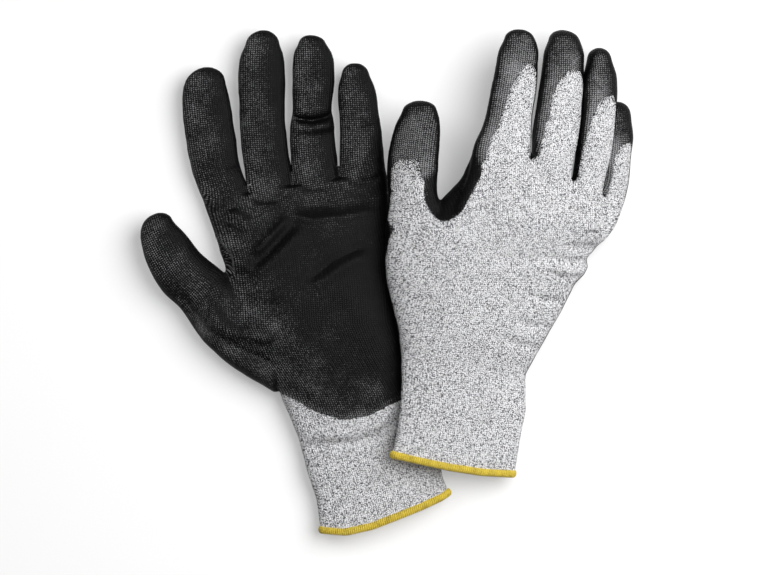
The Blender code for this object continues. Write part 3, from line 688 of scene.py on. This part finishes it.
def cutSkin(glove, mesh, fields, names):
    bm = bmesh.new()
    bm.from_mesh(mesh)
    knit = bm.verts.layers.float_vector.new("knit")
    outward = bm.verts.layers.float_vector.new("outward")
    dip = bm.verts.layers.float.new("dip")
    painted_glint = bm.verts.layers.float.new("painted_glint")
    nearest = bm.verts.layers.int.new("nearest")
    for vert in bm.verts:
        vert[knit] = fields["knit"][vert.index]
        vert[outward] = fields["outward"][vert.index]
        vert[dip] = fields["dip"][vert.index]
        vert[painted_glint] = fields["painted_glint"][vert.index]
        vert[nearest] = int(fields["nearest"][vert.index])

    def cut(measure, digit=None, near=cutShape["near"]):
        points = np.array([vert.co for vert in bm.verts])
        value = measure(points)
        inside = np.abs(value) < near
        if digit is not None:
            inside = inside & (np.array([vert[nearest] for vert in bm.verts]) == digit)
        cutLine(bm, value, inside)

    cut(lambda points: beyond(points, glove["hemEdge"]))
    centre, along = planeOf(glove["wrist"])
    cut(lambda points: (points - centre) @ along)
    for number, name in enumerate(names):
        web = glove["digits"][name]["rings"][webRing]
        planes = (web["centre"], web["along"]), halfPlane(glove["side"], name)
        for middle, way in planes:
            cut(lambda points: (points - np.array(middle)) @ np.array(way), number, cutShape["digit"])
    value = np.array([vert[dip] for vert in bm.verts])
    cutLine(bm, value, np.ones(len(value), bool))
    return bm


# A piece of the skin, raised by lift, that keeps the whole skin's shading at its edges
def pieceObject(name, bm, keep, lift=0.0):
    part = bm.copy()
    part.faces.ensure_lookup_table()
    gone = [face for face in part.faces if not keep[face.index]]
    bmesh.ops.delete(part, geom=gone, context="FACES")
    outward = part.verts.layers.float_vector["outward"]
    ways = [vert[outward].normalized() for vert in part.verts]
    for vert, way in zip(part.verts, ways):
        vert.co += way * lift
    mesh = bpy.data.meshes.new(name)
    part.to_mesh(mesh)
    part.free()
    mesh.shade_smooth()
    mesh.normals_split_custom_set_from_vertices(ways)
    piece = bpy.data.objects.new(name, mesh)
    bpy.context.scene.collection.objects.link(piece)
    return piece


def thicken(piece, wall):
    shell = piece.modifiers.new("wall", "SOLIDIFY")
    shell.thickness = wall
    shell.offset = -1.0
    shell.use_rim = True


# How much of a digit bends: past its web, short of its half plane, and the least and most reach
bendShape = {"web": 0.0004, "short": 0.0022, "root": 0.011, "half": 0.0006, "middle": 0.010}


# A digit's piece bends over the knuckle between its two bodies
def bendOver(piece, glove, name, which):
    side = glove["side"]
    hinge = hinges[f"{side}_{name}_{which}_knuckle"]
    place = Vector(hinge["pos_m"])
    middle, ahead = halfPlane(side, name)
    if which == "root":
        web = glove["digits"][name]["rings"][webRing]
        way = web["along"]
        start = web["centre"] + way * bendShape["web"]
        room = (Vector(middle) - start).dot(way) - bendShape["short"]
        end = start + way * min(max(2.0 * (place - start).dot(way), bendShape["root"]), room)
    else:
        way = Vector(ahead)
        reach = min((place - Vector(middle)).dot(way) - bendShape["half"], bendShape["middle"])
        start, end = place - way * reach, place + way * reach
    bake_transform(piece, hinge["parent"], hinge["child"], start, end)


class Wire:
    def __init__(self, tree, socket=None):
        self.tree = tree
        self.socket = socket

    def make(self, kind, settings=None, inputs=None, output=0):
        node = self.tree.nodes.new(kind)
        for key, value in (settings or {}).items():
            setattr(node, key, value)
        for key, value in (inputs or {}).items():
            if isinstance(value, Wire):
                self.tree.links.new(value.socket, node.inputs[key])
            else:
                node.inputs[key].default_value = value
        return Wire(self.tree, node.outputs[output])

    def calc(self, operation, *values):
        return self.make("ShaderNodeMath", {"operation": operation}, dict(enumerate(values)))

    def __add__(self, other):
        return self.calc("ADD", self, other)

    __radd__ = __add__

    def __sub__(self, other):
        return self.calc("SUBTRACT", self, other)

    def __rsub__(self, other):
        return self.calc("SUBTRACT", other, self)

    def __mul__(self, other):
        return self.calc("MULTIPLY", self, other)

    __rmul__ = __mul__

    def __truediv__(self, other):
        return self.calc("DIVIDE", self, other)

    def __rtruediv__(self, other):
        return self.calc("DIVIDE", other, self)

    def smooth(self, low, high):
        return self.make("ShaderNodeMapRange", {"interpolation_type": "SMOOTHSTEP"},
                         {"Value": self, "From Min": low, "From Max": high})

    # From one colour to another, where the first may come from nodes
    def tint(self, low, high):
        first = low if isinstance(low, Wire) else (*low, 1.0)
        return self.make("ShaderNodeMix", {"data_type": "RGBA"}, {0: self, 6: first, 7: (*high, 1.0)}, 2)

    def mark(self, name):
        return self.make("ShaderNodeAttribute", {"attribute_name": name}, output=2)

    def cloud(self, place, scale, detail=2.0):
        return self.make("ShaderNodeTexNoise", inputs={"Vector": place, "Scale": scale, "Detail": detail})

    def bump(self, strength, distance):
        values = {"Strength": strength, "Distance": distance, "Height": self}
        return self.make("ShaderNodeBump", inputs=values)


def surface(name):
    made = bpy.data.materials.new(name)
    made.use_nodes = True
    return made, made.node_tree.nodes["Principled BSDF"], Wire(made.node_tree)


def connect(wire, shader, socket):
    wire.tree.links.new(wire.socket, shader.inputs[socket])


stitchShape = {"slant": 1.1, "round": 0.6, "strands": 5.0, "plies": 2.8}


# Rows of V-shaped stitches: their height, a random value for each strand of yarn, and the knit's coordinates
def stitches(wire, wale, course):
    knit = wire.make("ShaderNodeAttribute", {"attribute_name": "knit"}, output=1)
    across = wire.make("ShaderNodeSeparateXYZ", inputs={0: knit}, output=0) / wale
    along = wire.make("ShaderNodeSeparateXYZ", inputs={0: knit}, output=1) / course
    column = wire.calc("FLOOR", across)
    phase = along + wire.calc("ABSOLUTE", across - column - 0.5) * stitchShape["slant"]
    bow = wire.calc("SINE", wire.calc("FRACT", phase) * math.pi)
    flank = wire.calc("SINE", wire.calc("FRACT", across * 2.0) * math.pi)
    height = wire.calc("POWER", bow * flank, stitchShape["round"])
    strand = wire.calc("FLOOR", across * stitchShape["strands"])
    ply = wire.calc("FLOOR", phase * stitchShape["plies"])
    yarn = wire.make("ShaderNodeCombineXYZ", inputs={0: strand, 1: ply})
    chance = wire.make("ShaderNodeTexWhiteNoise", {"noise_dimensions": "2D"}, {"Vector": yarn})
    return height, chance, knit


knitFinish = {
    "wale": 0.0021, "course": 0.0011, "fibre": 3200.0, "rough": 0.92, "shine": 0.2, "relief": 0.0004,
    "pale": (0.78, 0.78, 0.795), "fleck": (0.035, 0.035, 0.04), "soaked": (0.012, 0.012, 0.013),
}


def knitMaterial():
    made, shader, wire = surface("grey melange knit")
    height, chance, knit = stitches(wire, knitFinish["wale"], knitFinish["course"])
    fibre = wire.cloud(knit, knitFinish["fibre"])
    dark = (chance + fibre * 0.8).smooth(0.9, 1.25)
    # Fleck tone of the melange, times painted shade in the grooves between stitch crests, times random fibre
    # tone
    shade = (1.0 - dark * 0.95) * (0.56 + height * 0.44) * (0.8 + fibre * 0.4)
    tone = shade.tint(knitFinish["fleck"], knitFinish["pale"])
    # The coating soaks into the yarn along its edge
    soak = (wire.mark("dip") * 1000.0 + chance * 1.7 + fibre * 1.6 + height * 0.5).smooth(1.3, 1.9)
    connect(soak.tint(tone, knitFinish["soaked"]), shader, "Base Color")
    shader.inputs["Roughness"].default_value = knitFinish["rough"]
    shader.inputs["Specular IOR Level"].default_value = knitFinish["shine"]
    connect((height + fibre * 0.3).bump(0.6, knitFinish["relief"]), shader, "Normal")
    return made


coatFinish = {
    "wale": 0.0023, "course": 0.00105, "patch": 70.0, "grain": 2600.0, "rough": 0.42, "shine": 0.09,
    "relief": 0.0004, "deep": (0.0022, 0.0022, 0.0025), "wear_and_glint": (0.27, 0.27, 0.277),
}


def coatMaterial():
    made, shader, wire = surface("black polyurethane")
    height, chance, knit = stitches(wire, coatFinish["wale"], coatFinish["course"])
    patch = wire.cloud(knit, coatFinish["patch"], 3.0)
    grain = wire.cloud(knit, coatFinish["grain"])
    # Pale where stitches stand high and where it thins out towards its edge, with painted highlight: pale
    # glints on faces turned to the light
    thin = 1.0 - (wire.mark("dip") * 1000.0).smooth(0.3, 5.0)
    wear_and_glint = height * 0.9 + chance * 0.45 + patch * 0.7 + grain * 0.4 + wire.mark("painted_glint") * 0.9 + thin * 0.25
    connect(wear_and_glint.smooth(1.9, 2.85).tint(coatFinish["deep"], coatFinish["wear_and_glint"]), shader, "Base Color")
    connect(coatFinish["rough"] + (grain - 0.5) * 0.2 - patch * 0.1, shader, "Roughness")
    shader.inputs["Specular IOR Level"].default_value = coatFinish["shine"]
    connect((height * 0.7 + grain * 0.4).bump(0.6, coatFinish["relief"]), shader, "Normal")
    return made


hemFinish = {"name": "yellow overlock thread", "bright": (0.62, 0.47, 0.04), "deep": (0.36, 0.26, 0.015)}
elasticFinish = {"name": "white covered elastic", "bright": (0.78, 0.78, 0.75), "deep": (0.55, 0.55, 0.52)}
threadFinish = {"fibre": 2200.0, "patch": 300.0, "rough": 0.8, "sheen": 0.15, "relief": 0.0002}


def threadMaterial(colours):
    made, shader, wire = surface(colours["name"])
    place = wire.make("ShaderNodeTexCoord", output=3)
    fibre, patch = (wire.cloud(place, threadFinish[kind]) for kind in ("fibre", "patch"))
    shade = (fibre * 0.6 + patch * 0.4).smooth(0.32, 0.58)
    connect(shade.tint(colours["deep"], colours["bright"]), shader, "Base Color")
    shader.inputs["Roughness"].default_value = threadFinish["rough"]
    shader.inputs["Sheen Weight"].default_value = threadFinish["sheen"]
    connect(fibre.bump(0.5, threadFinish["relief"]), shader, "Normal")
    return made


finishes = {
    "knit": knitMaterial(),
    "coating": coatMaterial(),
    "hem": threadMaterial(hemFinish),
    "elastic": threadMaterial(elasticFinish),
}
print("finishes made")


def dress(piece, slot, *nodes):
    piece.data.materials.clear()
    piece.data.materials.append(finishes[slot])
    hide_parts(*nodes)


def threadObject(name, points, radius, closed):
    curve = bpy.data.curves.new(name, "CURVE")
    curve.dimensions = "3D"
    curve.bevel_depth = radius
    curve.bevel_resolution = 1
    curve.use_fill_caps = True
    spline = curve.splines.new("POLY")
    spline.points.add(len(points) - 1)
    for knot, place in zip(spline.points, points):
        knot.co = (*place, 1.0)
    spline.use_cyclic_u = closed
    thread = bpy.data.objects.new(name, curve)
    graph = bpy.context.evaluated_depsgraph_get()
    bpy.context.scene.collection.objects.link(thread)
    graph.update()
    mesh = bpy.data.meshes.new_from_object(thread.evaluated_get(graph), depsgraph=graph)
    bpy.data.objects.remove(thread)
    mesh.shade_smooth()
    piece = bpy.data.objects.new(name, mesh)
    bpy.context.scene.collection.objects.link(piece)
    return piece


rimShape = {"count": 360, "on": 0.00004, "rounds": 8}


# The cut edge of the cuff as an even run of points round its mouth, with the way out of the cloth at each
def rimRun(glove, bm):
    ring = glove["rings"][1]
    along = np.array(ring["along"])
    outward = bm.verts.layers.float_vector["outward"]
    away = np.abs(beyond(np.array([vert.co for vert in bm.verts]), glove["hemEdge"]))
    on = [vert for vert, gap in zip(bm.verts, away) if gap < rimShape["on"]]
    turns = []
    for vert in on:
        offset = vert.co - ring["centre"] - up * ring["arch"]
        high, wide = offset.dot(ring["rise"]) / ring["thick"], offset.dot(ring["across"]) / ring["half"]
        turns.append(math.atan2(high, wide))
    order = np.argsort(turns)
    line = np.array([on[i].co for i in order])
    out = np.array([on[i][outward] for i in order])
    line, out = np.vstack([line, line[:1]]), np.vstack([out, out[:1]])
    reach = np.concatenate([[0.0], np.cumsum(np.linalg.norm(np.diff(line, axis=0), axis=1))])
    even = np.linspace(0.0, reach[-1], rimShape["count"], endpoint=False)
    points = np.stack([np.interp(even, reach, line[:, axis]) for axis in range(3)], axis=1)
    ways = np.stack([np.interp(even, reach, out[:, axis]) for axis in range(3)], axis=1)
    for turn in range(rimShape["rounds"]):
        points = (np.roll(points, 1, 0) + points * 2.0 + np.roll(points, -1, 0)) / 4.0
        ways = (np.roll(ways, 1, 0) + ways * 2.0 + np.roll(ways, -1, 0)) / 4.0
    ways = ways - (ways @ along)[:, None] * along
    return points, ways / np.linalg.norm(ways, axis=1)[:, None], along, reach[-1]


# A thread wound over the cuff's edge, round a core of the same section
hemShape = {
    "tall": 0.0018, "deep": 0.0013, "seat": 0.0009, "sides": 12,
    "thread": 0.00045, "pitch": 0.0011, "steps": 12,
}


def makeHem(glove, bm):
    points, ways, along, length = rimRun(glove, bm)
    spine = points + along * hemShape["seat"] - ways * (weave["wall"] / 2.0)
    turns = round(length / hemShape["pitch"])
    count = turns * hemShape["steps"]

    def section(angle, way):
        tall, deep = hemShape["tall"] * math.cos(angle), hemShape["deep"] * math.sin(angle)
        return along * tall, way * deep

    winding = []
    for step in range(count):
        share = step / count * len(points)
        low = int(share)
        high = (low + 1) % len(points)
        middle = mix(spine[low], spine[high], share - low)
        way = mix(ways[low], ways[high], share - low)
        high, out = section(2.0 * math.pi * step / hemShape["steps"], way)
        winding.append(middle + high + out)
    thread = threadObject(glove["side"] + "_hem_thread", winding, hemShape["thread"], True)
    core = bmesh.new()
    turn, verts, first = startRing(core, hemShape["sides"])
    edges = first
    for number, (middle, way) in enumerate(zip(spine[::2], ways[::2])):
        if number:
            verts, edges = growRing(core, edges)
        for vert in verts:
            high, out = section(2.0 * math.pi * vert[turn] / hemShape["sides"], way)
            vert.co = middle + high + out
    bmesh.ops.bridge_loops(core, edges=edges + first)
    bmesh.ops.recalc_face_normals(core, faces=core.faces)
    core.from_mesh(thread.data)
    core.to_mesh(thread.data)
    core.free()
    thread.data.shade_smooth()
    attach(thread, glove["side"] + "_hand")
    dress(thread, "hem", glove["side"] + "_hem")


elasticShape = {"radius": 0.00042, "turns": 4, "steps": 60, "inset": 0.0017, "start": 0.012, "end": 0.010}


def makeElastic(glove, bm):
    tree = BVHTree.FromBMesh(bm)
    ring = glove["rings"][1]
    start = ring["centre"] + ring["along"] * elasticShape["start"]
    end = Vector(planeOf(glove["wrist"])[0]) + up * ring["centre"].z - ring["along"] * elasticShape["end"]
    count = elasticShape["turns"] * elasticShape["steps"]
    points = []
    for step in range(count + 1):
        angle = 2.0 * math.pi * step / elasticShape["steps"]
        middle = start.lerp(end, step / count) + up * ring["arch"]
        wide, high = ring["half"] * math.cos(angle), ring["thick"] * math.sin(angle)
        ray = ring["across"] * wide + ring["rise"] * high
        hit, normal = tree.ray_cast(middle, ray.normalized())[:2]
        points.append(hit - normal * elasticShape["inset"])
    thread = threadObject(glove["side"] + "_elastic_thread", points, elasticShape["radius"], False)
    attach(thread, glove["side"] + "_hand")
    dress(thread, "elastic", glove["side"] + "_cuff_elastic")


# Pieces of one skin, by label: name, knit node, coating node, and the digit's knuckle that they bend over
def makePieces(glove, names, parts):
    side, whole = glove["side"], 0 in parts
    mesh = makeSkin(glove, names)
    if not whole:
        trimSkin(glove, mesh, names)
    sculpt(glove, mesh)
    fields = survey(glove, mesh, names)
    print(side, "skin of", len(mesh.vertices), "points")
    bm = cutSkin(glove, mesh, fields, names)
    bm.faces.ensure_lookup_table()
    bm.faces.index_update()
    dip = bm.verts.layers.float["dip"]
    label = partLabels(glove, np.array([face.calc_center_median() for face in bm.faces]), names)
    coated = np.array([sum(vert[dip] for vert in face.verts) > 0.0 for face in bm.faces])
    for key, (name, knitNode, coatNode, knuckle) in parts.items():
        knit = pieceObject(f"{side}_{name}_knit_piece", bm, label == key)
        thicken(knit, weave["wall"])
        pieces = [(knit, "knit", knitNode)]
        if coatNode:
            held = label == key
            if key == 0:
                held = np.isin(label, (0, 1))  # the palm's film runs on over the cuff
            film = pieceObject(f"{side}_{name}_film_piece", bm, held & coated, weave["film"])
            pieces.append((film, "coating", coatNode))
        for piece, slot, node in pieces:
            if knuckle:
                bendOver(piece, glove, *knuckle)
            else:
                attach(piece, side + "_hand")
            dress(piece, slot, f"{side}_{node}")
    if whole:
        makeHem(glove, bm)
        makeElastic(glove, bm)
    bm.free()
    bpy.data.meshes.remove(mesh)


# Fingers side by side are made in two sets, so that each one has its own sides
fingerSets = (("thumb", "middle", "little"), ("index", "ring"))


def makeGlove(glove):
    glove["rings"] = [handRing(row) for row in glove["hand"]]
    for digit in glove["digits"].values():
        digit["rings"] = digitRings(digit)
    hand = ("hand", "hand_knit", "palm_coating", None)
    cuff = ("cuff", "cuff_knit", None, None)
    makePieces(glove, digitNames, {0: hand, 1: cuff})
    for names in fingerSets:
        parts = {}
        for name in names:
            key = digitKey(name)
            parts[key] = (name + "_lower", name + "_base_knit", name + "_base_coating", (name, "root"))
            parts[key + 1] = (name + "_upper", name + "_tip_knit", name + "_tip_coating", (name, "middle"))
        makePieces(glove, names, parts)
    print(glove["side"], "glove made")


makeGlove(left)
makeGlove(right)

floorFinish = {"size": 3.0, "colour": (0.63, 0.63, 0.63, 1.0), "rough": 0.9, "glow": 0.29}


def makeFloor():
    bm = bmesh.new()
    bmesh.ops.create_grid(bm, x_segments=1, y_segments=1, size=floorFinish["size"])
    mesh = bpy.data.meshes.new("table_top")
    bm.to_mesh(mesh)
    bm.free()
    floor = bpy.data.objects.new("table_top", mesh)
    bpy.context.scene.collection.objects.link(floor)
    made, shader, wire = surface("white table")
    shader.inputs["Base Color"].default_value = floorFinish["colour"]
    shader.inputs["Roughness"].default_value = floorFinish["rough"]
    shader.inputs["Specular IOR Level"].default_value = 0.0
    seen = wire.make("ShaderNodeLightPath", output=0) * floorFinish["glow"]
    connect(wire.make("ShaderNodeCombineColor", inputs={0: seen, 1: seen, 2: seen}), shader, "Emission Color")
    shader.inputs["Emission Strength"].default_value = 1.0
    mesh.materials.append(made)


lamps = {
    "window": {"place": (0.64, 0.26, 1.0), "size": 1.25, "power": 22.0},
    "softbox": {"place": (-0.75, 0.75, 1.25), "size": 1.0, "power": 6.0},
}
room = {"colour": (1.0, 1.0, 1.0, 1.0), "strength": 0.16}
lens = {"far": 4.0, "sensor": 36.0}


# A round lamp, aimed at the pair
def addLamp(name, place, size, power):
    data = bpy.data.lights.new(name, "AREA")
    data.shape = "DISK"
    data.size = size
    data.energy = power
    lamp = bpy.data.objects.new(name, data)
    lamp.location = place
    lamp.rotation_euler = (-Vector(place)).to_track_quat("-Z", "Y").to_euler()
    bpy.context.scene.collection.objects.link(lamp)


def makeStage():
    makeFloor()
    for name, lamp in lamps.items():
        addLamp(name, lamp["place"], lamp["size"], lamp["power"])
    world = bpy.data.worlds.new("room")
    world.use_nodes = True
    light = world.node_tree.nodes["Background"]
    light.inputs["Color"].default_value = room["colour"]
    light.inputs["Strength"].default_value = room["strength"]
    bpy.context.scene.world = world
    middle = spot((table["middleX"], table["middleY"]))
    data = bpy.data.cameras.new("camera")
    data.sensor_width = lens["sensor"]
    data.lens = lens["sensor"] * lens["far"] / (table["wide"] * table["step"])
    camera = bpy.data.objects.new("camera", data)
    camera.location = (middle.x, middle.y, lens["far"])
    bpy.context.scene.collection.objects.link(camera)
    bpy.context.scene.camera = camera
    bpy.context.scene.view_settings.view_transform = "Standard"


makeStage()
print("stage set")
